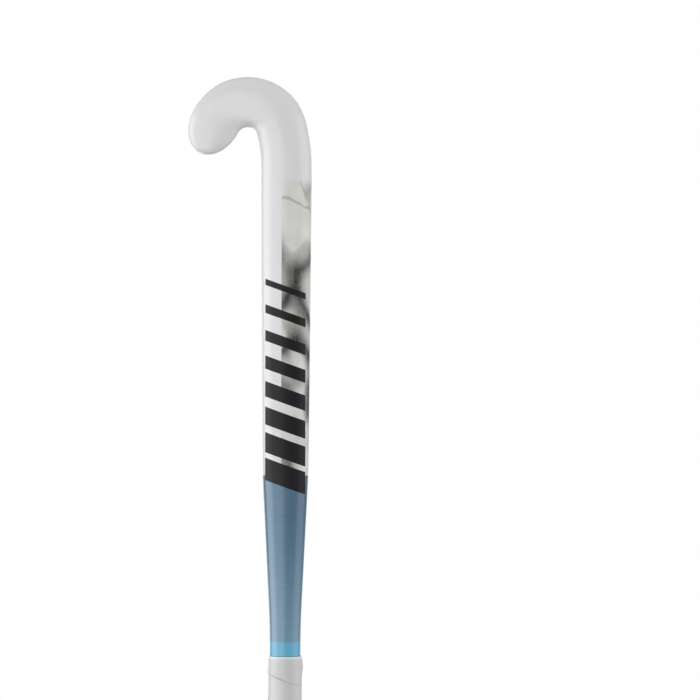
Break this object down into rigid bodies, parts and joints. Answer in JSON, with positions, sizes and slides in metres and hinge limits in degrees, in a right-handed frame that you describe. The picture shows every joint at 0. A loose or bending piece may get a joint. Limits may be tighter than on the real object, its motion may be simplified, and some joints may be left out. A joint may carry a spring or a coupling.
{
  "type": "field hockey stick",
  "caption": "Slim straight stick with a hooked head, flat on the playing side and domed on the other, gently bowed, with a wound cushion grip and a capped butt.",
  "frame": {"origin": "middle of the grip, on the handle's axis", "axes": "+Z along the handle towards the head, +Y out of the flat playing side, the toe of the head towards -X"},
  "size_m": [0.1195, 0.0464, 0.9269],
  "materials": {
    "painted_laminate": "satin white paint over carbon and glass laminate, with a grey marbled panel, a blue lower shaft and a light blue band by the grip",
    "core_foam": "rigid polyurethane foam",
    "tube_laminate": "unpainted carbon laminate",
    "plug_foam": "dense polyurethane foam",
    "cap_rubber": "moulded rubber",
    "grip_cushion": "matt cushioned polyurethane strip with a fine fabric-like texture"
  },
  "bodies": {
    "root": {"outer_laminate": "painted_laminate", "head_core": "core_foam", "toe_side_inner_tube": "tube_laminate", "heel_side_inner_tube": "tube_laminate", "handle_plug": "plug_foam", "butt_cap": "cap_rubber", "grip_strip": "grip_cushion"}
  },
  "joints": []
}
